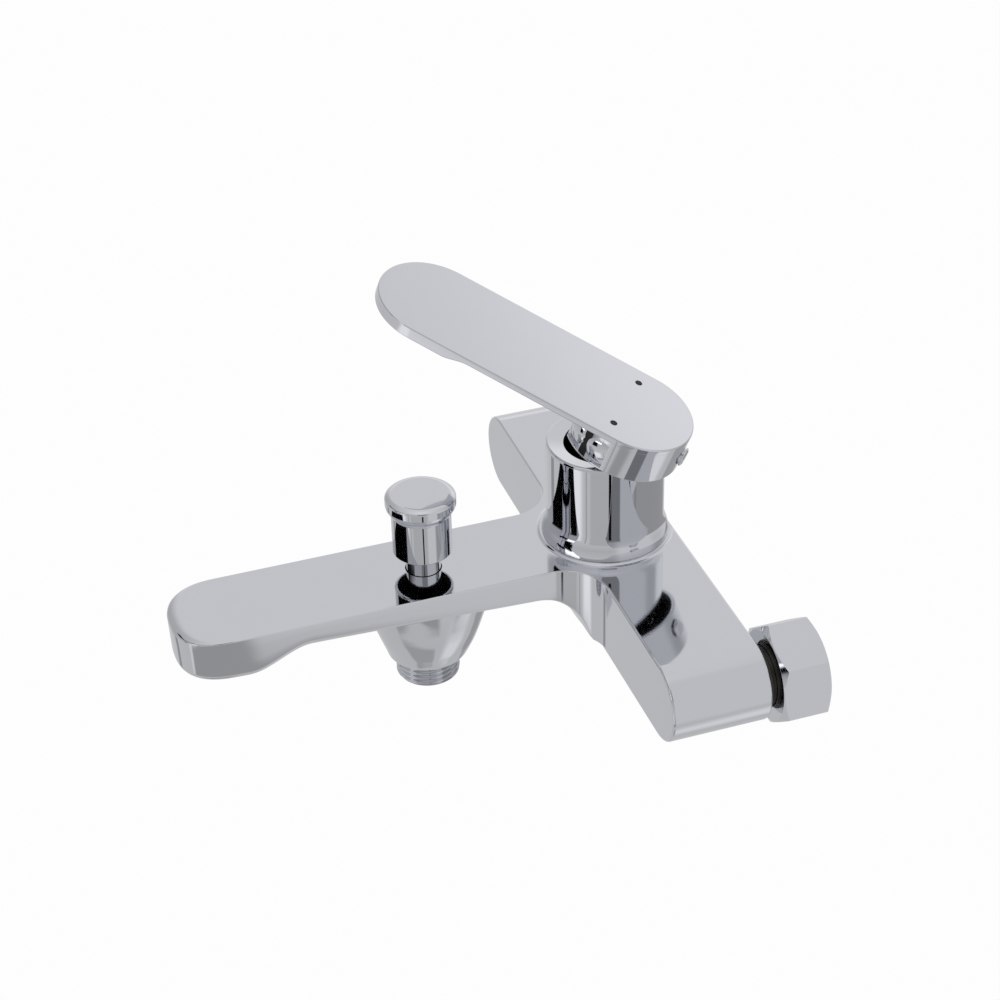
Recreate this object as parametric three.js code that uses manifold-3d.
// Wall mounted bath faucet: a single-lever mixer with a flat spout, a pull-up shower diverter and
// two union nuts. Millimetres, +Z up, +Y towards the wall, the spout points along -Y.
// The origin lies midway between the inlets, in the plane of the union nuts' wall-side faces,
// and the inlet axes lie at Z = 0. It is drawn with the lever open and turned towards hot,
// and with the diverter knob pulled up.
import * as THREE from 'three';
import { mergeVertices } from 'three/addons/utils/BufferGeometryUtils.js';
import Module from 'manifold-3d';

const wasm = await Module();
wasm.setup();

// ---- Clearances ------------------------------------------------------------------------------
const seatGap = 0.3; // between pieces that seat on each other
const runGap = 0.35; // between pieces that turn or slide

// ---- Inlets and union nuts -------------------------------------------------------------------
const inletSpacing = 150; // between the two inlet axes
const nutAcrossFlats = 30;
const nutLength = 16;
const nutTurn = 37.7; // degrees from +X to the nut's first corner
const nutThreadRadius = 12.1; // minor radius of a G 3/4 thread
const nutFlange = 3.4; // thickness of the nut's inward flange
const nutStandoff = 3; // from the crossbar's back to the nut
const spigotBore = 7;
const spigotWall = 2.6;
const spigotInsert = 10; // how deep the spigot sits in the casting
const spigotShoulder = 1.2; // thickness of the shoulder on the casting's back
const spigotCollar = 2.6; // thickness of the collar that the nut pulls on
const inletWasherThickness = 2;

// ---- Crossbar --------------------------------------------------------------------------------
const barHeight = 26.4;
const barDepth = 32.8;
const barEdge = 0.8; // rounding of the crossbar's long edges
const barChannel = 7; // radius of the water way in each arm
const barChannelDrop = 2.4; // how far the water way lies below the inlet axes

// ---- Spout -----------------------------------------------------------------------------------
const spoutWidth = 35.4;
const spoutReach = 146.4; // from the dome's axis to the tip
const spoutCorner = 14; // radius of the corners between spout and crossbar
const spoutRootEdge = 10.2; // height of the spout's side at its root
const spoutWaistEdge = 6.8; // height of the spout's side at its thinnest
const spoutBelly = 14; // depth of the spout along its middle
const tipDepth = 15;
const tipRound = 18.3; // length of the spout's rounded end
const tipSquareness = 2.5; // 2 is a half ellipse, more is squarer
const tipBlock = 20.5; // length of the deep block that holds the aerator
const tipScoop = 21.5; // length over which the side thins behind the block
const tipFall = 1.3; // how far the deck rolls down at the tip
const tipFallRun = 4; // length of that roll
const tipBottomRound = 2;
const tipDraft = 0.4; // how much the tip narrows towards its underside
const spoutEdge = 0.4; // rounding of the spout's upper edges
const rootFillet = 17; // radius under the spout, where it meets the crossbar
const rootFilletReach = 30.5; // from the dome's axis to where that fillet starts
const spoutChannel = 3.4; // radius of the water way from cartridge to diverter
const tipChannelWidth = 11;
const tipChannelHeight = 4.6;

// ---- Dome and cartridge chamber --------------------------------------------------------------
const domeSetback = 21.5; // from the crossbar's back to the dome's axis
const domeHeight = 34.9; // above the deck
const domeWall = 1.8;
const domeSlip = 0.4; // between the casting's neck and the dome's inside
const domeFootFlare = 1.6; // how far the foot stands out from the dome
const domeFootHeight = 3.7;
const domeMouth = 13.4; // radius of the opening in the dome's top
const domeDish = 1; // how far the top falls towards the opening
const domeLip = 1.9; // thickness of the top
const padHeight = 0.8; // low round pad on the deck, under the dome
const padRun = 1.7; // how far the pad's edge slopes out
const neckWall = 1.9; // wall of the casting's neck inside the dome
const neckHeight = 26; // above the deck
const chamberDepth = 3.4; // chamber floor below the deck
const cartridgeRadius = 14.9;
const cartridgeBaseHeight = 5.5;
const housingWall = 1.7;
const housingTop = 2.5;
const fixedDiscHeight = 3.2;
const movingDiscHeight = 3.2;
const movingDiscRadius = 11;
const driverHeight = 4.2;
const driverRadius = 9.6;
const carrierFlange = 2.2;
const turretRadius = 8.8;
const turretRise = 4.1; // turret above the lever's pivot
const turretWall = 1.8;
const cartridgeNutHeight = 5.9;
const cartridgeNutBore = 10.6;
const portRadius = 2.7;
const inletPortX = 7;
const inletPortY = 3.5; // inlet ports behind the cartridge's axis
const outletPortY = 8.8; // outlet port in front of the cartridge's axis
const sealSection = 1.5;

// ---- Lever -----------------------------------------------------------------------------------
const leverTurn = -41.4; // degrees about +Z, from straight along the spout
const leverTilt = 20.75; // degrees above closed
const leverTiltMax = 25;
const pivotHeight = 20.3; // above the deck
const leverTop = 30.1; // top face above the pivot
const skirtOverhang = 0.1; // how far the lever's skirt stands out from the dome
const leverSpan = 73.2; // between the centres of the lever's two round ends
const leverRootThickness = 2.4;
const leverTipThickness = 4.2;
const leverTipLength = 31; // length of the thick grip at the end
const leverEdge = 0.5;
const skirtHeight = 13.7; // from the top face to the skirt's rim
const skirtWall = 1.4;
const hubRadius = 5.8;
const hubHeight = 13.1; // from the top face to the hub's end
const spindleSide = 6; // square end of the spindle
const spindleTop = 4.6; // spindle's end below the lever's top face
const spindleArm = 8; // from the pivot down to the middle of the spindle's toe
const toeRadius = 2.2;
const toeNeck = 1.5; // half width of the spindle above its toe
const pinRadius = 1.4;
const grubRadius = 2.2;
const grubLength = 3.2;
const grubDrop = 8; // screw axis below the lever's top face
const plugRadius = 2.7;
const plugHead = 1;
const markRadius = 1.3;
const markSpread = 12.5; // each temperature mark from the lever's middle line
const markForward = 3.8;
const markThickness = 0.5;

// ---- Diverter --------------------------------------------------------------------------------
const diverterReach = 62.6; // from the dome's axis
const diverterLift = 7; // underside of the raised knob above the deck
const knobRadius = 9.65;
const knobHeight = 21.5;
const knobCapRadius = 11.4;
const knobCapHeight = 4.2;
const knobCapFlare = 2.3; // height of the flare under the cap
const knobCapDrop = 0.9; // how far the cap's top falls at its rounded edge
const knobCapEase = 2; // width of that rounded edge
const knobWall = 0.9;
const knobHollow = 8.3; // depth of the knob's open underside
const stemRadius = 2.5;
const stemThread = 9; // length of the stem's end in the knob
const bonnetRadius = 5.7;
const bonnetCone = 5.3; // height of the bonnet's cone above the deck
const bonnetConeTop = 4.3; // radius at the cone's end
const bonnetInsert = 5.4;
const galleryRoof = 3.4; // metal over the upper gallery
const galleryHeight = 5.6;
const galleryRadius = 7.2;
const partition = 2.2; // wall between gallery and valve chamber
const valveSeat = 4.6; // radius of the two seat openings
const valveRadius = 7.6; // radius of the valve chamber
const valveHeight = 12.7;
const sealPlateRadius = 6.6;
const sealPlate = 1.6; // thickness of each rubber seal
const pistonPlate = 2.1;
const sealScrewRadius = 1.1;
const sealScrewHead = 3.6;
const bossDepth = 32; // boss below the deck
const bossRim = 13.2; // radius at the boss's end
const bossProfile = [
  // depth below the deck, half width, reach towards the tip, reach towards the wall
  [6, 17.35, 25.6, 33],
  [8, 17.35, 23, 27.6],
  [10.5, 17.3, 21, 24],
  [14, 17.1, 19.3, 21.4],
  [18, 16.8, 18, 19.6],
  [22, 16.3, 16.7, 18.1],
  [26, 15.4, 15.3, 16.5],
  [29, 14.4, 14.2, 15],
  [31.2, 13.6, 13.5, 13.8],
  [bossDepth, bossRim, bossRim, bossRim],
];
const nippleRadius = 10.4775; // G 1/2 thread
const nippleLength = 9; // exposed length
const nippleShank = 9.2;
const nippleBore = 7.4;
const nippleChamfer = 0.5;

// ---- Aerator ---------------------------------------------------------------------------------
const aeratorRadius = 12;
const aeratorHeight = 8;
const aeratorProud = 1.2; // below the spout's underside
const aeratorWall = 2.4;
const aeratorInsertHeight = 4;
const aeratorHole = 0.9;
const aeratorWasherThickness = 1.2;

// ---- Places that follow from the sizes above -------------------------------------------------
const barRadius = barHeight / 2;
const deckZ = barRadius;
const barBackY = -(nutLength + nutStandoff);
const barFrontY = barBackY - barDepth;
const barMiddleY = (barBackY + barFrontY) / 2;
const domeY = barBackY - domeSetback;
const inletX = inletSpacing / 2;
const spoutHalf = spoutWidth / 2;
const tipCentreY = domeY - spoutReach + tipRound;
const tipBottomZ = deckZ - tipDepth;
const diverterY = domeY - diverterReach;

const chamberRadius = cartridgeRadius + seatGap;
const neckRadius = chamberRadius + neckWall;
const floorZ = deckZ - chamberDepth;
const baseZ = floorZ + seatGap;
const fixedDiscZ = baseZ + cartridgeBaseHeight + seatGap;
const movingDiscZ = fixedDiscZ + fixedDiscHeight + seatGap;
const driverZ = movingDiscZ + movingDiscHeight + seatGap;
const carrierZ = driverZ + driverHeight + seatGap;
const housingTopZ = carrierZ + carrierFlange + seatGap + housingTop;
const cartridgeNutZ = housingTopZ + seatGap;
const housingInner = cartridgeRadius - housingWall;
const pivotZ = deckZ + pivotHeight;
const turretTopZ = pivotZ + turretRise;
const domeInner = neckRadius + domeSlip;
const domeRadius = domeInner + domeWall;

const tilt = THREE.MathUtils.degToRad(leverTilt);
const tiltMax = THREE.MathUtils.degToRad(leverTiltMax);
const toeTravel = spindleArm * Math.sin(tiltMax);
const toeOffset = spindleArm * Math.sin(tilt); // toe ahead of the axis, as drawn
const discOffset = toeOffset - toeTravel / 2; // keeps the disc's travel centred
const leverHalf = domeRadius + skirtOverhang; // half the lever's width
const hubEnd = leverTop - hubHeight;

const partitionZ = deckZ - galleryRoof - galleryHeight - partition; // partition's underside
const valveFloorZ = partitionZ - valveHeight;
const stackTopZ = partitionZ - seatGap; // upper seal, knob raised
const plateTopZ = stackTopZ - sealPlate - seatGap;
const plateBottomZ = plateTopZ - pistonPlate;
const stackBottomZ = plateBottomZ - seatGap - sealPlate;
const nippleTopZ = valveFloorZ - seatGap;
const bossEndZ = deckZ - bossDepth;
const nippleEndZ = bossEndZ - seatGap - nippleLength;
const knobZ = deckZ + diverterLift;
const knobHubZ = knobZ + knobHollow;
const tipChannelZ = deckZ - galleryRoof - tipChannelHeight / 2;
const channelZ = floorZ - 1.8 - spoutChannel; // leaves a floor of 1.8 under the cartridge

const aeratorTopZ = tipBottomZ - aeratorProud + aeratorHeight;
const aeratorRecessZ = aeratorTopZ + aeratorWasherThickness + 2 * seatGap;

// ---- Finishes --------------------------------------------------------------------------------
const finish = (color, roughness, metalness) => () =>
  new THREE.MeshStandardMaterial({ color, roughness, metalness });
const chrome = finish(0xd6d8dc, 0.06, 1);
const brass = finish(0xc6a256, 0.35, 1);
const steel = finish(0xa9adb2, 0.3, 1);
const ceramic = finish(0xf1efe9, 0.3, 0);
const whitePlastic = finish(0xe6e6e2, 0.5, 0);
const greyPlastic = finish(0x8c9094, 0.45, 0);
const rubber = finish(0x1b1b1c, 0.8, 0);
const hotEnamel = finish(0x3c1016, 0.35, 0);
const coldEnamel = finish(0x101a38, 0.35, 0);

// ---- Geometry helpers ------------------------------------------------------------------------

// Signed volume of an indexed mesh: positive when its faces point outwards.
function signedVolume(position, index) {
  const a = new THREE.Vector3();
  const b = new THREE.Vector3();
  const c = new THREE.Vector3();
  let volume = 0;
  for (let i = 0; i < index.length; i += 3) {
    a.fromBufferAttribute(position, index[i]);
    b.fromBufferAttribute(position, index[i + 1]);
    c.fromBufferAttribute(position, index[i + 2]);
    volume += a.dot(b.cross(c)) / 6;
  }
  return volume;
}

// Closed three.js geometry as a manifold solid.
function toSolid(geometry) {
  const bare = geometry.clone();
  bare.deleteAttribute('normal');
  bare.deleteAttribute('uv');
  const merged = mergeVertices(bare, 1e-4);
  const all = merged.index.array;
  const kept = [];
  for (let i = 0; i < all.length; i += 3) {
    const [a, b, c] = [all[i], all[i + 1], all[i + 2]];
    if (a !== b && b !== c && c !== a) kept.push(a, b, c);
  }
  if (signedVolume(merged.attributes.position, kept) < 0) kept.reverse();
  const vertProperties = new Float32Array(merged.attributes.position.array);
  const triVerts = new Uint32Array(kept);
  return new wasm.Manifold(new wasm.Mesh({ numProp: 3, vertProperties, triVerts }));
}

function toGeometry(solid) {
  const mesh = solid.getMesh();
  const geometry = new THREE.BufferGeometry();
  geometry.setAttribute('position', new THREE.BufferAttribute(mesh.vertProperties, 3));
  geometry.setIndex(new THREE.BufferAttribute(mesh.triVerts, 1));
  geometry.computeVertexNormals();
  return geometry;
}

function join(first, ...others) {
  return toGeometry(others.reduce((sum, other) => sum.add(toSolid(other)), toSolid(first)));
}

function cut(base, ...tools) {
  return toGeometry(tools.reduce((rest, tool) => rest.subtract(toSolid(tool)), toSolid(base)));
}

function common(first, second) {
  return toGeometry(toSolid(first).intersect(toSolid(second)));
}

// Turned piece about +Z from [radius, height] points; it closes on itself or on the axis.
function turned(profile, segments = 20) {
  const points = profile.map(([radius, height]) => new THREE.Vector2(radius, height));
  const first = points[0];
  const last = points[points.length - 1];
  if (first.x > 0 || last.x > 0) points.push(first.clone());
  return toGeometry(toSolid(new THREE.LatheGeometry(points, segments).rotateX(Math.PI / 2)));
}

const rod = (radius, from, to, segments) =>
  turned([[0, from], [radius, from], [radius, to], [0, to]], segments);

const ring = (inner, outer, from, to, segments) =>
  turned([[inner, from], [outer, from], [outer, to], [inner, to]], segments);

// Box between two corners.
function block(low, high) {
  const size = high.map((value, i) => value - low[i]);
  const middle = high.map((value, i) => (value + low[i]) / 2);
  return new THREE.BoxGeometry(...size).translate(...middle);
}

// Piece turned about +Z, laid along +Y or along +X.
const alongY = (geometry) => geometry.rotateX(-Math.PI / 2);
const alongX = (geometry) => geometry.rotateY(Math.PI / 2);

const at = (geometry, x, y, z = 0) => geometry.translate(x, y, z);

// Points on an arc in a plane, both ends included; angles in degrees.
function arc(x, y, radius, from, to, steps) {
  return Array.from({ length: steps + 1 }, (_, i) => {
    const angle = THREE.MathUtils.degToRad(from + ((to - from) * i) / steps);
    return [x + radius * Math.cos(angle), y + radius * Math.sin(angle)];
  });
}

// Closed skin over equal loops of points, with a flat cap on each end loop.
function loft(loops, capPlane) {
  const count = loops[0].length;
  const positions = loops.flat(2);
  const index = [];
  for (let k = 0; k + 1 < loops.length; k += 1) {
    for (let i = 0; i < count; i += 1) {
      const j = (i + 1) % count;
      const [a, b, c, d] = [k * count + i, k * count + j, (k + 1) * count + j, (k + 1) * count + i];
      index.push(a, b, c, a, c, d);
    }
  }
  for (const start of [0, (loops.length - 1) * count]) {
    const outline = loops[start / count].map((p) => new THREE.Vector2(p[capPlane[0]], p[capPlane[1]]));
    const facesOn = THREE.ShapeUtils.isClockWise(outline) !== (start > 0);
    for (const triangle of THREE.ShapeUtils.triangulateShape(outline, [])) {
      const corners = triangle.map((corner) => start + corner);
      index.push(...(facesOn ? corners : corners.reverse()));
    }
  }
  const geometry = new THREE.BufferGeometry();
  geometry.setAttribute('position', new THREE.Float32BufferAttribute(positions, 3));
  geometry.setIndex(index);
  return geometry;
}

// Outline with two half-round ends, in a plane.
function stadium(halfLength, radius) {
  const shape = new THREE.Shape();
  shape.absarc(halfLength, 0, radius, -Math.PI / 2, Math.PI / 2);
  shape.absarc(-halfLength, 0, radius, Math.PI / 2, (3 * Math.PI) / 2);
  return shape;
}

// ---- Body casting ----------------------------------------------------------------------------

function crossbar() {
  const outline = stadium(inletX, barRadius - barEdge);
  const bar = new THREE.ExtrudeGeometry(outline, {
    depth: barDepth - 2 * barEdge,
    bevelThickness: barEdge,
    bevelSize: barEdge,
    bevelSegments: 2,
    curveSegments: 20,
  });
  return at(bar.rotateX(Math.PI / 2), 0, barBackY - barEdge, 0);
}

// The spout from above at one height: squared round tip, straight sides, hollow corners at the
// crossbar. The tip can be drawn in all round or only at its end, and the long edges rounded.
function spoutOutline(z, { tipInset = 0, tipRoll = 0, edgeInset = 0 }) {
  const halfTip = spoutHalf - tipInset - edgeInset;
  const reach = tipRound - tipInset - tipRoll;
  const power = 2 / tipSquareness;
  const tip = arc(0, 0, 1, 180, 360, 24).map(([x, y]) => [
    halfTip * Math.sign(x) * Math.abs(x) ** power,
    tipCentreY - reach * Math.abs(y) ** power,
  ]);
  const side = spoutHalf - edgeInset;
  const fadeY = tipCentreY + tipBlock - tipRound + tipScoop / 3;
  const corner = spoutHalf + spoutCorner;
  const hollow = (from, to, x) =>
    arc(x, barFrontY - spoutCorner, spoutCorner + edgeInset, from, to, 9);
  const rootY = barFrontY + spoutCorner / 2;
  const points = [
    ...tip, [side, fadeY], ...hollow(180, 90, corner), [corner, rootY],
    [-corner, rootY], ...hollow(90, 0, -corner), [-side, fadeY],
  ];
  return points.map(([x, y]) => [x, y, z]);
}

const smooth = (t) => THREE.MathUtils.smoothstep(t, 0, 1);

// Depth of the spout's side edge and of its middle, at a distance from the dome's axis.
function spoutDepths(reach) {
  const scoopEnd = spoutReach - tipBlock;
  const scoopStart = scoopEnd - tipScoop;
  const toWaist = Math.min(1, Math.max(0, (reach - rootFilletReach) / (scoopStart - rootFilletReach)));
  const side = THREE.MathUtils.lerp(spoutRootEdge, spoutWaistEdge, toWaist);
  const toTip = smooth((reach - scoopStart) / tipScoop);
  const inFillet = Math.min(rootFillet, Math.max(0, rootFilletReach - reach));
  const drop = rootFillet - Math.sqrt(rootFillet ** 2 - inFillet ** 2);
  const deepest = barHeight - barEdge;
  return {
    edge: Math.min(deepest, THREE.MathUtils.lerp(side, tipDepth, toTip) + drop),
    belly: Math.min(deepest, THREE.MathUtils.lerp(spoutBelly, tipDepth, toTip) + drop),
  };
}

// Cross-section that holds everything above the spout's underside at one reach.
function undersideSection(reach) {
  const { edge, belly } = spoutDepths(reach);
  const side = spoutHalf + spoutCorner + 1;
  const steps = 12;
  const y = domeY - reach;
  const under = Array.from({ length: steps + 1 }, (_, i) => {
    const share = -Math.cos((Math.PI * i) / steps);
    const depth = edge + (belly - edge) * (1 - Math.abs(share) ** 2.5);
    return [spoutHalf * share, y, deckZ - depth];
  });
  const top = deckZ + 1;
  return [
    [-side, y, top], [-side, y, deckZ - edge], ...under, [side, y, deckZ - edge], [side, y, top],
  ];
}

function spoutArm() {
  const plan = loft([
    spoutOutline(-barRadius + barEdge / 2, { tipInset: tipBottomRound }),
    spoutOutline(tipBottomZ, { tipInset: tipBottomRound }),
    spoutOutline(tipBottomZ + tipBottomRound * 0.3, { tipInset: tipBottomRound * 0.4 + tipDraft }),
    spoutOutline(tipBottomZ + tipBottomRound, { tipInset: tipDraft }),
    ...[1, 0.65, 0.35, 0.13].map((share) => spoutOutline(deckZ - spoutEdge - tipFall * share,
      { tipRoll: tipFallRun * (1 - Math.sqrt(1 - (1 - share) ** 2)) })),
    spoutOutline(deckZ - spoutEdge, { tipRoll: tipFallRun * 0.8 }),
    spoutOutline(deckZ, { tipRoll: tipFallRun, edgeInset: spoutEdge }),
  ], [0, 1]);
  const scoopEnd = spoutReach - tipBlock;
  const scoopStart = scoopEnd - tipScoop;
  const filletEnd = Math.max(rootFilletReach - rootFillet, domeY - barFrontY - spoutCorner / 3);
  const reaches = [domeY - barFrontY - spoutCorner / 2 - 1];
  for (let i = 0; i <= 8; i += 1) {
    reaches.push(THREE.MathUtils.lerp(filletEnd, rootFilletReach, i / 8));
  }
  for (let i = 0; i <= 10; i += 1) {
    reaches.push(THREE.MathUtils.lerp(scoopStart, scoopEnd, i / 10));
  }
  reaches.push(spoutReach + 1);
  const under = loft(reaches.map(undersideSection), [0, 2]);
  return common(plan, under);
}

// Boss that leads from the spout's underside down to the shower outlet.
function outletBoss() {
  const loops = bossProfile.map(([depth, width, front, back]) =>
    Array.from({ length: 36 }, (_, i) => {
      const angle = (2 * Math.PI * i) / 36;
      const length = Math.sin(angle) < 0 ? front : back;
      return [width * Math.cos(angle), diverterY + length * Math.sin(angle), deckZ - depth];
    }));
  return loft(loops.reverse(), [0, 1]);
}

function bodyCasting() {
  const padTop = domeRadius + domeFootFlare + 0.6;
  const padFoot = padTop + padRun;
  const roundPad = at(turned([
    [0, deckZ - 1], [padFoot, deckZ - 1], [padFoot, deckZ],
    [padTop + padRun * 0.35, deckZ + padHeight * 0.35], [padTop, deckZ + padHeight],
    [0, deckZ + padHeight],
  ], 56), 0, domeY);
  // The pad ends flush with the crossbar's back.
  const pad = cut(roundPad, block([-padFoot, barBackY - barEdge, 0], [padFoot, 0, deckZ + 5]));
  const neck = rod(neckRadius, deckZ, deckZ + neckHeight, 40);
  const outside = join(crossbar(), spoutArm(), outletBoss(), pad, at(neck, 0, domeY));

  const linkRadius = spoutChannel;
  const riserY = diverterY + galleryRadius + 1.6 + linkRadius;
  const linkZ = (partitionZ + valveFloorZ) / 2 + 1;
  const portY = domeY - outletPortY;
  const waterWays = [
    at(rod(chamberRadius, floorZ, deckZ + neckHeight + 1, 40), 0, domeY),
    at(rod(portRadius, channelZ, floorZ + 1, 16), 0, portY),
    at(alongY(rod(spoutChannel, riserY - portY, 0, 16)), 0, portY, channelZ),
    at(rod(linkRadius, linkZ - linkRadius * 0.8, channelZ + linkRadius * 0.8, 16), 0, riserY),
    at(alongY(rod(linkRadius, diverterY - riserY, 0, 16)), 0, riserY, linkZ),
    at(rod(bonnetRadius + seatGap, deckZ - galleryRoof - 1, deckZ + 1), 0, diverterY),
    at(rod(galleryRadius, partitionZ + partition, deckZ - galleryRoof), 0, diverterY),
    at(rod(valveSeat, partitionZ - 1, partitionZ + partition + 1, 24), 0, diverterY),
    at(rod(valveRadius, valveFloorZ - 1, partitionZ), 0, diverterY),
    at(rod(nippleShank + seatGap, bossEndZ - 1, valveFloorZ), 0, diverterY),
    block(
      [-tipChannelWidth / 2, tipCentreY, tipChannelZ - tipChannelHeight / 2],
      [tipChannelWidth / 2, diverterY, tipChannelZ + tipChannelHeight / 2],
    ),
    at(rod(aeratorRadius - aeratorWall, aeratorRecessZ - 1, tipChannelZ + tipChannelHeight / 2, 24),
      0, tipCentreY),
    at(rod(aeratorRadius + seatGap, tipBottomZ - 1, aeratorRecessZ, 32), 0, tipCentreY),
  ];
  for (const side of [-1, 1]) {
    const inner = side * (inletPortX - portRadius);
    const outer = side * inletX;
    waterWays.push(
      at(alongX(rod(barChannel, Math.min(inner, outer), Math.max(inner, outer), 20)),
        0, barMiddleY, -barChannelDrop),
      at(rod(portRadius, -barChannelDrop, floorZ + 1, 16), side * inletPortX, domeY + inletPortY),
      at(alongY(rod(spigotBore, barMiddleY, barBackY, 20)), outer, 0, 0),
      at(alongY(rod(spigotBore + spigotWall - 0.4 + seatGap, barBackY - spigotInsert - seatGap,
        barBackY + 1)), outer, 0, 0),
    );
  }
  return cut(outside, ...waterWays);
}

// ---- Inlets ----------------------------------------------------------------------------------

const shankRadius = spigotBore + spigotWall;
const insertRadius = shankRadius - 0.4;
const grooveDepth = 1.3;
const grooveLength = 2.4;
const nutY = -nutLength;
const collarY = nutY + nutFlange + seatGap;
const spigotFaceY = collarY + spigotCollar;
const collarRadius = nutThreadRadius - seatGap;

function spigot() {
  const insertY = barBackY - spigotInsert;
  const grooveY = insertY + 3;
  return alongY(turned([
    [spigotBore, insertY], [insertRadius - 0.5, insertY], [insertRadius, insertY + 0.5],
    [insertRadius, grooveY], [insertRadius - grooveDepth, grooveY],
    [insertRadius - grooveDepth, grooveY + grooveLength], [insertRadius, grooveY + grooveLength],
    [insertRadius, barBackY + seatGap], [shankRadius + 1.4, barBackY + seatGap],
    [shankRadius + 1.4, barBackY + seatGap + spigotShoulder],
    [shankRadius, barBackY + seatGap + spigotShoulder],
    [shankRadius, collarY], [collarRadius, collarY], [collarRadius, spigotFaceY],
    [spigotBore, spigotFaceY],
  ]));
}

function spigotRing() {
  const grooveY = barBackY - spigotInsert + 3;
  return alongY(ring(insertRadius - grooveDepth + 0.15, insertRadius + 0.1,
    grooveY + seatGap, grooveY + grooveLength - seatGap));
}

function unionNut() {
  const corner = nutAcrossFlats / Math.sqrt(3);
  const face = nutAcrossFlats / 2 - 0.5;
  const chamfer = (corner - face) * Math.tan(Math.PI / 6);
  const hex = new THREE.CylinderGeometry(corner, corner, nutLength, 6)
    .rotateY(Math.PI / 2 - THREE.MathUtils.degToRad(nutTurn));
  const blank = alongY(turned([
    [0, nutY], [face, nutY], [corner + 0.1, nutY + chamfer], [corner + 0.1, -chamfer],
    [face, 0], [0, 0],
  ]));
  const thread = alongY(rod(nutThreadRadius, nutY + nutFlange, 1));
  const passage = alongY(rod(shankRadius + runGap, nutY - 1, 1));
  return cut(common(at(hex, 0, nutY / 2, 0), blank), thread, passage);
}

const inletWasher = () => alongY(ring(spigotBore + 0.6, collarRadius - 0.2,
  spigotFaceY + seatGap, spigotFaceY + seatGap + inletWasherThickness));

// ---- Dome and cartridge, each about the dome's axis ------------------------------------------

function cartridgeDome() {
  const foot = domeRadius + domeFootFlare;
  const base = deckZ + padHeight + seatGap;
  const top = deckZ + domeHeight;
  const footTop = deckZ + domeFootHeight;
  return turned([
    [domeInner, base], [foot, base], [foot - 0.15, base + 1], [foot - 0.6, footTop],
    [domeRadius + 0.75, footTop + 0.7], [domeRadius + 0.3, footTop + 1.9],
    [domeRadius + 0.06, footTop + 3.6], [domeRadius, footTop + 5.4],
    [domeRadius, top - 1], [domeRadius - 0.25, top - 0.3], [domeRadius - 0.8, top],
    [domeMouth, top - domeDish], [domeMouth, top - domeDish - domeLip],
    [domeInner, top - domeDish - domeLip],
  ], 40);
}

function cartridgeNut() {
  const nut = ring(cartridgeNutBore, cartridgeRadius, cartridgeNutZ,
    cartridgeNutZ + cartridgeNutHeight);
  const top = cartridgeNutZ + cartridgeNutHeight;
  const slot = (x, y) => block([-x, -y, top - 1.8], [x, y, top + 1]);
  return cut(nut, slot(cartridgeRadius + 1, 1.6), slot(1.6, cartridgeRadius + 1));
}

const cartridgeHousing = () => turned([
  [housingInner, fixedDiscZ], [cartridgeRadius, fixedDiscZ], [cartridgeRadius, housingTopZ],
  [turretRadius + runGap, housingTopZ], [turretRadius + runGap, housingTopZ - housingTop],
  [housingInner, housingTopZ - housingTop],
]);

const ports = [
  { name: 'hot_port_seal', x: -inletPortX, y: inletPortY },
  { name: 'cold_port_seal', x: inletPortX, y: inletPortY },
  { name: 'outlet_port_seal', x: 0, y: -outletPortY },
];
const sealInner = portRadius + 0.4;
const sealOuter = sealInner + sealSection;

function cartridgeBase() {
  const top = baseZ + cartridgeBaseHeight;
  const body = turned([
    [0, baseZ], [cartridgeRadius - 0.4, baseZ], [cartridgeRadius, baseZ + 0.4],
    [cartridgeRadius, top], [0, top],
  ]);
  const holes = ports.flatMap(({ x, y }) => [
    at(rod(portRadius, baseZ - 1, top + 1, 16), x, y),
    at(rod(sealOuter + 0.15, baseZ - 1, baseZ + sealSection, 16), x, y),
  ]);
  return cut(body, ...holes);
}

const portSeal = () => ring(sealInner, sealOuter, baseZ - 0.15, baseZ + sealSection - 0.25, 16);

function fixedDisc() {
  const disc = rod(housingInner - seatGap, fixedDiscZ, fixedDiscZ + fixedDiscHeight);
  const holes = ports.map(({ x, y }) =>
    at(rod(portRadius, fixedDiscZ - 1, fixedDiscZ + fixedDiscHeight + 1, 16), x, y));
  return cut(disc, ...holes);
}

// Ceramic disc with a hollow underneath that joins the ports it uncovers.
function movingDisc() {
  const disc = rod(movingDiscRadius, movingDiscZ, movingDiscZ + movingDiscHeight);
  const hollow = rod(movingDiscRadius * 0.62, movingDiscZ - 1, movingDiscZ + movingDiscHeight / 2, 24);
  return cut(disc, hollow);
}

function discDriver() {
  const disc = rod(driverRadius, driverZ, driverZ + driverHeight);
  const slotY = discOffset - toeOffset;
  const halfY = toeRadius + runGap;
  const halfX = spindleSide / 2 + runGap;
  return cut(disc, block(
    [-halfX, slotY - halfY, driverZ - 1], [halfX, slotY + halfY, driverZ + driverHeight + 1],
  ));
}

function spindleCarrier() {
  const flangeTop = carrierZ + carrierFlange;
  const flangeRadius = housingInner - runGap;
  const body = turned([
    [0, carrierZ], [flangeRadius, carrierZ], [flangeRadius, flangeTop],
    [turretRadius, flangeTop], [turretRadius, turretTopZ], [0, turretTopZ],
  ]);
  const halfY = turretRadius - turretWall;
  const halfX = spindleSide / 2 + runGap;
  const slot = block([-halfX, -halfY, carrierZ - 1], [halfX, halfY, turretTopZ + 1]);
  const pinHole = at(alongX(rod(pinRadius + seatGap, -turretRadius - 1, turretRadius + 1, 20)),
    0, 0, pivotZ);
  return cut(body, slot, pinHole);
}

const spindlePin = () => alongX(rod(pinRadius, 0.4 - turretRadius, turretRadius - 0.4, 20));

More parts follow.
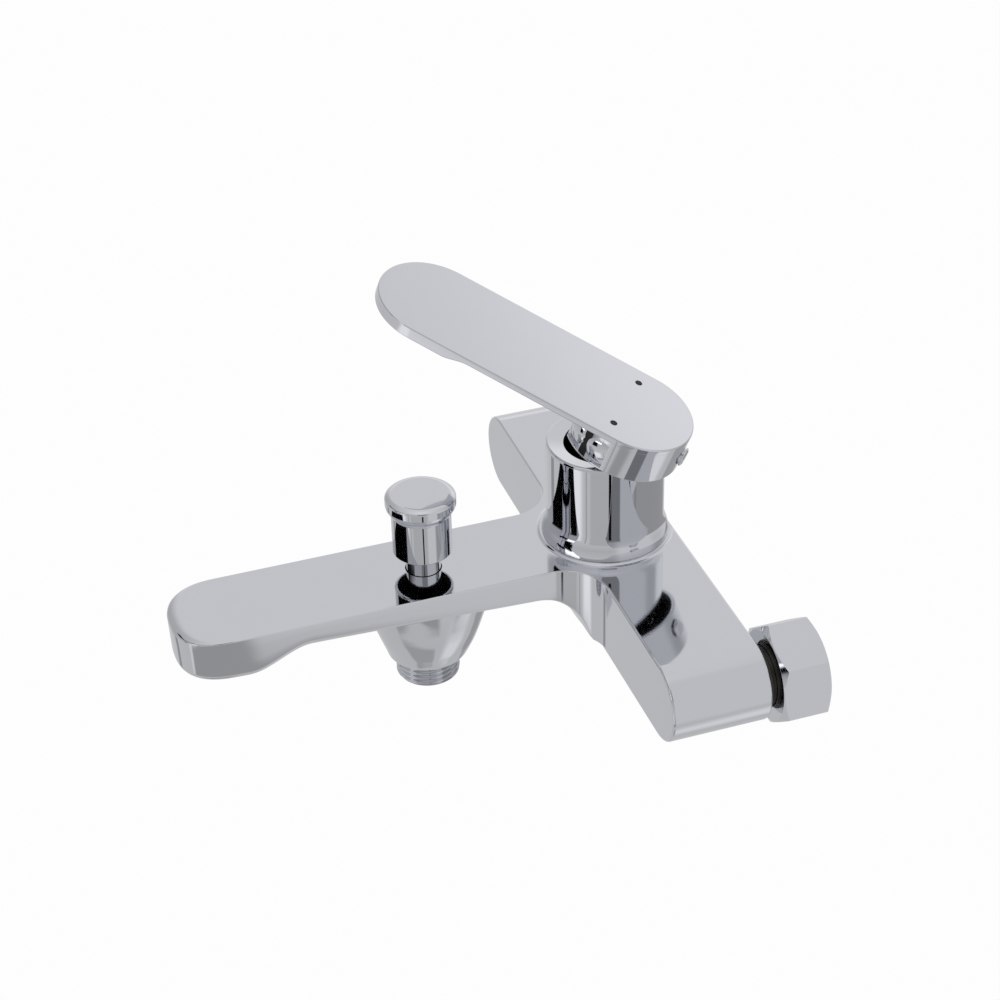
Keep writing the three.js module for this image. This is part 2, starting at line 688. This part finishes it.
// ---- Lever pieces, about the pivot: +Z square to the lever, -Y towards its tip ---------------

function spindle() {
  const half = spindleSide / 2;
  const shape = new THREE.Shape();
  const shankZ = -pinRadius - 1.8;
  const neck = Math.acos(toeNeck / toeRadius);
  shape.moveTo(-half, shankZ);
  shape.lineTo(-toeNeck, shankZ - (half - toeNeck) * 0.6);
  shape.absarc(0, -spindleArm, toeRadius, Math.PI - neck, 2 * Math.PI + neck);
  shape.lineTo(toeNeck, shankZ - (half - toeNeck) * 0.6);
  shape.lineTo(half, shankZ);
  shape.lineTo(half, leverTop - spindleTop);
  shape.lineTo(-half, leverTop - spindleTop);
  shape.closePath();
  const hole = new THREE.Path();
  hole.absarc(0, 0, pinRadius + runGap, 0, 2 * Math.PI, true);
  shape.holes.push(hole);
  const bar = new THREE.ExtrudeGeometry(shape, {
    depth: spindleSide, bevelEnabled: false, curveSegments: 10,
  });
  // The outline's x runs towards the tip, so it turns onto -Y.
  bar.rotateX(Math.PI / 2).rotateZ(-Math.PI / 2).translate(half, 0, 0);
  return toGeometry(toSolid(bar));
}

function leverHandle() {
  const outline = stadium(leverSpan / 2, leverHalf - leverEdge);
  const slab = new THREE.ExtrudeGeometry(outline, {
    depth: leverTipThickness - 2 * leverEdge,
    bevelThickness: leverEdge,
    bevelSize: leverEdge,
    bevelSegments: 2,
    curveSegments: 20,
  });
  slab.rotateZ(Math.PI / 2);
  at(slab, 0, -leverSpan / 2, leverTop - leverTipThickness + leverEdge);

  // Side view of the plate: thick grip at the tip, easing to the thin root.
  const gripY = -leverSpan - leverHalf + leverTipLength;
  const tipY = -leverSpan - leverHalf - 1;
  const thick = leverTop - leverTipThickness - 1;
  const thin = leverTop - leverRootThickness;
  const ease = 9;
  const profile = [[leverHalf + 1, thin], [gripY + ease, thin]];
  for (let i = 1; i <= 6; i += 1) {
    profile.push([gripY + ease - (ease * i) / 6,
      THREE.MathUtils.lerp(thin, leverTop - leverTipThickness, smooth(i / 6))]);
  }
  profile.push([gripY, thick], [tipY, thick], [tipY, leverTop + 1], [leverHalf + 1, leverTop + 1]);
  const side = (x) => profile.map(([y, z]) => [x, y, z]);
  const plate = common(slab, loft([side(-leverHalf - 1), side(leverHalf + 1)], [1, 2]));

  const rim = leverTop - skirtHeight;
  const inner = leverHalf - skirtWall;
  const underside = leverTop - leverRootThickness;
  const skirt = turned([
    [inner, rim], [leverHalf - 0.3, rim], [leverHalf, rim + 0.3], [leverHalf, leverTop - 1],
    [inner, leverTop - 1],
  ], 40);
  const hub = rod(hubRadius, hubEnd, underside + 1);
  const socketHalf = spindleSide / 2 + seatGap;
  const socket = block(
    [-socketHalf, -socketHalf, hubEnd - 1], [socketHalf, socketHalf, leverTop - spindleTop + seatGap],
  );
  const screwZ = leverTop - grubDrop;
  const screwHole = at(alongY(rod(grubRadius + seatGap, 0, hubRadius + 1, 20)), 0, 0, screwZ);
  const plugHole = at(alongY(rod(plugRadius + seatGap, inner - 1, leverHalf + 1, 20)), 0, 0, screwZ);
  const pockets = [-1, 1].map((side) => at(
    rod(markRadius + seatGap, leverTop - markThickness - seatGap, leverTop + 1, 20),
    side * markSpread, -markForward,
  ));
  return cut(join(plate, skirt, hub), socket, screwHole, plugHole, ...pockets);
}

const grubScrew = () => {
  const start = spindleSide / 2 + seatGap;
  const screw = rod(grubRadius, start, start + grubLength, 20);
  const key = rod(grubRadius * 0.5, start + grubLength / 2, start + grubLength + 1, 6);
  return alongY(cut(screw, key));
};

const leverPlug = () => {
  const inner = leverHalf - skirtWall;
  return alongY(turned([
    [0, inner + 0.2], [plugRadius, inner + 0.2], [plugRadius, leverHalf + seatGap],
    [plugRadius + 0.5, leverHalf + seatGap], [plugRadius + 0.5, leverHalf + 0.7 * plugHead],
    [plugRadius * 0.8, leverHalf + seatGap + plugHead], [0, leverHalf + seatGap + plugHead],
  ], 24));
};

const temperatureMark = () => rod(markRadius, -markThickness, 0, 20);

// ---- Diverter, about its axis ----------------------------------------------------------------

function diverterKnob() {
  const top = knobZ + knobHeight;
  const capZ = top - knobCapHeight;
  const inner = knobRadius - knobWall;
  const hubTop = knobHubZ + stemThread + 0.4;
  const cap = arc(0, 0, 1, 0, 90, 5).map(([across, up]) => [
    knobCapRadius - knobCapEase * (1 - across), top - knobCapDrop * (1 - up),
  ]);
  return turned([
    [stemRadius, hubTop], [stemRadius, knobHubZ], [inner, knobHubZ], [inner, knobZ],
    [knobRadius - 0.4, knobZ], [knobRadius, knobZ + 0.4], [knobRadius, capZ - knobCapFlare],
    [knobRadius + 0.4, capZ - knobCapFlare * 0.55], [knobCapRadius, capZ],
    ...cap, [0, top], [0, hubTop],
  ], 32);
}

function diverterStem() {
  const threadRadius = stemRadius - seatGap;
  const stubEnd = stackBottomZ + seatGap;
  const holeTop = plateTopZ + 1;
  return turned([
    [sealScrewRadius + seatGap, holeTop], [sealScrewRadius + seatGap, stubEnd],
    [stemRadius - 0.3, stubEnd], [stemRadius - 0.3, plateBottomZ],
    [sealPlateRadius - 0.2, plateBottomZ], [sealPlateRadius - 0.2, plateTopZ],
    [stemRadius, plateTopZ], [stemRadius, knobHubZ - seatGap],
    [threadRadius, knobHubZ - seatGap], [threadRadius, knobHubZ + stemThread],
    [0, knobHubZ + stemThread], [0, holeTop],
  ], 16);
}

const bonnetBore = stemRadius + runGap;
const bonnetGrooveZ = deckZ - 4;
const stemGrooveHeight = 2;

function diverterBonnet() {
  const grooveTop = deckZ - 1.2;
  const grooveBottom = grooveTop - 1.6;
  return turned([
    [bonnetBore, deckZ - bonnetInsert], [bonnetRadius, deckZ - bonnetInsert],
    [bonnetRadius, grooveBottom], [bonnetRadius - 1, grooveBottom],
    [bonnetRadius - 1, grooveTop], [bonnetRadius, grooveTop],
    [bonnetRadius, deckZ + 0.4], [bonnetConeTop + 0.5, deckZ + bonnetCone - 0.9],
    [bonnetConeTop, deckZ + bonnetCone], [bonnetBore, deckZ + bonnetCone],
    [bonnetBore, bonnetGrooveZ + stemGrooveHeight],
    [bonnetBore + 1.4, bonnetGrooveZ + stemGrooveHeight],
    [bonnetBore + 1.4, bonnetGrooveZ], [bonnetBore, bonnetGrooveZ],
  ]);
}

const bonnetRing = () => ring(bonnetRadius - 0.85, bonnetRadius + 0.15,
  deckZ - 2.6, deckZ - 1.4);
const stemRing = () => ring(stemRadius + 0.2, bonnetBore + 1.2,
  bonnetGrooveZ + 0.25, bonnetGrooveZ + stemGrooveHeight - 0.25, 16);
const spoutSeal = () => ring(stemRadius + seatGap, sealPlateRadius,
  stackTopZ - sealPlate, stackTopZ);
const showerSeal = () => ring(stemRadius, sealPlateRadius,
  stackBottomZ, stackBottomZ + sealPlate);

const sealScrew = () => turned([
  [0, stackBottomZ - seatGap - 1.4], [sealScrewHead - 0.5, stackBottomZ - seatGap - 1.4],
  [sealScrewHead, stackBottomZ - seatGap - 0.8], [sealScrewHead, stackBottomZ - seatGap],
  [sealScrewRadius, stackBottomZ - seatGap], [sealScrewRadius, plateTopZ],
  [0, plateTopZ],
], 20);

const nippleGrooveZ = valveFloorZ - 4.5;

function outletNipple() {
  const shoulder = bossEndZ - seatGap;
  return turned([
    [valveSeat, nippleTopZ], [valveSeat, nippleTopZ - 1.6], [nippleBore, nippleTopZ - 3],
    [nippleBore, nippleEndZ], [nippleRadius - nippleChamfer, nippleEndZ],
    [nippleRadius, nippleEndZ + nippleChamfer], [nippleRadius, shoulder],
    [nippleShank, shoulder], [nippleShank, nippleGrooveZ],
    [nippleShank - 1.2, nippleGrooveZ], [nippleShank - 1.2, nippleGrooveZ + 2],
    [nippleShank, nippleGrooveZ + 2], [nippleShank, nippleTopZ],
  ], 24);
}

const nippleRing = () => ring(nippleShank - 1.05, nippleShank + 0.15,
  nippleGrooveZ + 0.25, nippleGrooveZ + 1.75);

// ---- Aerator, about the tip's centre ---------------------------------------------------------

const aeratorInner = aeratorRadius - aeratorWall;
const aeratorEndZ = tipBottomZ - aeratorProud;
const aeratorLipZ = aeratorEndZ + 1.2;

const aeratorHousing = () => turned([
  [aeratorInner - 1, aeratorEndZ], [aeratorRadius - 0.5, aeratorEndZ],
  [aeratorRadius, aeratorEndZ + 0.5], [aeratorRadius, aeratorTopZ],
  [aeratorInner, aeratorTopZ], [aeratorInner, aeratorLipZ], [aeratorInner - 1, aeratorLipZ],
], 24);

// Flow former with rings of small holes.
function aeratorInsert() {
  const bottom = aeratorLipZ + seatGap;
  const radius = aeratorInner - seatGap;
  const disc = rod(radius, bottom, bottom + aeratorInsertHeight);
  const holes = [];
  for (const [row, count] of [[0, 1], [0.4, 6], [0.76, 12]]) {
    for (let i = 0; i < count; i += 1) {
      const angle = (2 * Math.PI * i) / count;
      const hole = rod(aeratorHole, bottom - 1, bottom + aeratorInsertHeight + 1, 6);
      holes.push(at(hole, row * radius * Math.cos(angle), row * radius * Math.sin(angle)));
    }
  }
  return cut(disc, ...holes);
}

const aeratorWasher = () => ring(aeratorInner + 0.2, aeratorRadius - 0.2,
  aeratorTopZ + seatGap, aeratorTopZ + seatGap + aeratorWasherThickness);

// ---- Assembly --------------------------------------------------------------------------------

function piece(name, geometry, material, x = 0, y = 0, z = 0) {
  const mesh = new THREE.Mesh(geometry, material);
  mesh.name = name;
  mesh.position.set(x, y, z);
  return mesh;
}

const faucet = new THREE.Group();
faucet.add(piece('body_casting', bodyCasting(), chrome()));

for (const [side, x] of [['left', -inletX], ['right', inletX]]) {
  faucet.add(
    piece(`${side}_inlet_spigot`, spigot(), brass(), x),
    piece(`${side}_spigot_oring`, spigotRing(), rubber(), x),
    piece(`${side}_union_nut`, unionNut(), chrome(), x),
    piece(`${side}_inlet_washer`, inletWasher(), rubber(), x),
  );
}

const cartridge = new THREE.Group();
cartridge.position.y = domeY;
cartridge.add(
  piece('cartridge_dome', cartridgeDome(), chrome()),
  piece('cartridge_nut', cartridgeNut(), brass()),
  piece('cartridge_housing', cartridgeHousing(), greyPlastic()),
  piece('cartridge_base', cartridgeBase(), whitePlastic()),
  piece('fixed_disc', fixedDisc(), ceramic()),
  ...ports.map(({ name, x, y }) => piece(name, portSeal(), rubber(), x, y)),
);
faucet.add(cartridge);

// Everything that turns with the lever.
const rotor = new THREE.Group();
rotor.position.y = domeY;
rotor.rotation.z = THREE.MathUtils.degToRad(leverTurn);
rotor.add(
  piece('spindle_carrier', spindleCarrier(), whitePlastic()),
  piece('spindle_pin', spindlePin(), steel(), 0, 0, pivotZ),
  piece('moving_disc', movingDisc(), ceramic(), 0, -discOffset),
  piece('disc_driver', discDriver(), greyPlastic(), 0, -discOffset),
);
faucet.add(rotor);

// Everything that tilts with the lever.
const lever = new THREE.Group();
lever.position.z = pivotZ;
lever.rotation.x = -tilt;
lever.add(
  piece('spindle', spindle(), brass()),
  piece('lever_handle', leverHandle(), chrome()),
  piece('lever_grub_screw', grubScrew(), steel(), 0, 0, leverTop - grubDrop),
  piece('lever_plug', leverPlug(), chrome(), 0, 0, leverTop - grubDrop),
  piece('hot_mark', temperatureMark(), hotEnamel(), -markSpread, -markForward, leverTop),
  piece('cold_mark', temperatureMark(), coldEnamel(), markSpread, -markForward, leverTop),
);
rotor.add(lever);

const diverter = new THREE.Group();
diverter.position.y = diverterY;
diverter.add(
  piece('diverter_knob', diverterKnob(), chrome()),
  piece('diverter_stem', diverterStem(), brass()),
  piece('diverter_bonnet', diverterBonnet(), chrome()),
  piece('bonnet_oring', bonnetRing(), rubber()),
  piece('stem_oring', stemRing(), rubber()),
  piece('spout_seal', spoutSeal(), rubber()),
  piece('shower_seal', showerSeal(), rubber()),
  piece('seal_screw', sealScrew(), steel()),
  piece('outlet_nipple', outletNipple(), chrome()),
  piece('nipple_oring', nippleRing(), rubber()),
);
faucet.add(diverter);

const aerator = new THREE.Group();
aerator.position.y = tipCentreY;
aerator.add(
  piece('aerator_housing', aeratorHousing(), chrome()),
  piece('aerator_insert', aeratorInsert(), greyPlastic()),
  piece('aerator_washer', aeratorWasher(), rubber()),
);
faucet.add(aerator);

export default faucet;
